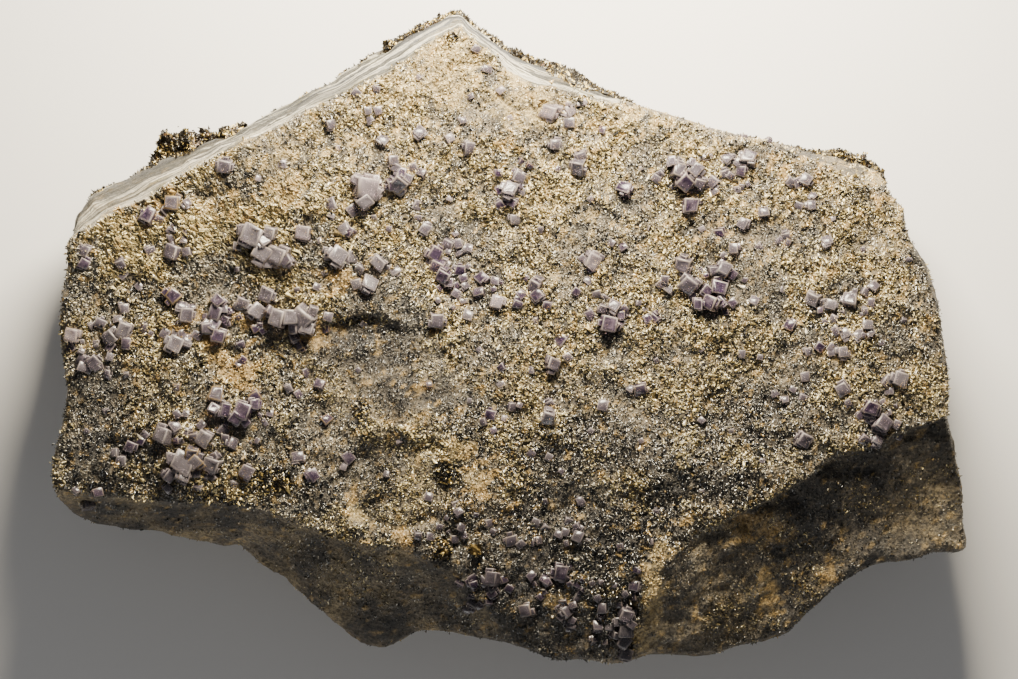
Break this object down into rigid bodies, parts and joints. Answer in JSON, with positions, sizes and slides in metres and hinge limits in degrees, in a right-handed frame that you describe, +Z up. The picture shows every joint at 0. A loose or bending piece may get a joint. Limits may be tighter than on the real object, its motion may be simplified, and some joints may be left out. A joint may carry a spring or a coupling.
{
  "type": "fluorite on drusy matrix mineral specimen with hubnerite",
  "caption": "Large slab of banded vein rock with a sugary drusy face, set with small violet fluorite cubes; dark blades on its back rim.",
  "frame": {"origin": "under the middle of the slab, on the surface it lies on", "axes": "+X along the slab's length, +Y towards its peaked edge, +Z up out of the crystal-covered face"},
  "size_m": [0.2018, 0.1442, 0.0464],
  "materials": {
    "rock": "sugary grey-cream quartz druse over rough broken vein rock",
    "fluorite": "translucent pale violet fluorite, frosted along the edges",
    "pyrite": null,
    "hubnerite": "near-black brown hubnerite with bronze glints; cast iron has its density"
  },
  "bodies": {
    "root": {"matrix_slab": "rock", "fluorite_cluster_01": "fluorite", "fluorite_cluster_02": "fluorite", "fluorite_cluster_03": "fluorite", "fluorite_cluster_04": "fluorite", "fluorite_cluster_05": "fluorite", "fluorite_cluster_06": "fluorite", "fluorite_cluster_07": "fluorite", "fluorite_cluster_08": "fluorite", "fluorite_cluster_09": "fluorite", "fluorite_cluster_10": "fluorite", "fluorite_cluster_11": "fluorite", "fluorite_cluster_12": "fluorite", "pyrite_left": "pyrite", "pyrite_middle": "pyrite", "pyrite_lower": "pyrite", "pyrite_cube": "pyrite", "hubnerite_left": "hubnerite", "hubnerite_peak_left": "hubnerite", "hubnerite_peak_right": "hubnerite", "hubnerite_right": "hubnerite"}
  },
  "joints": []
}
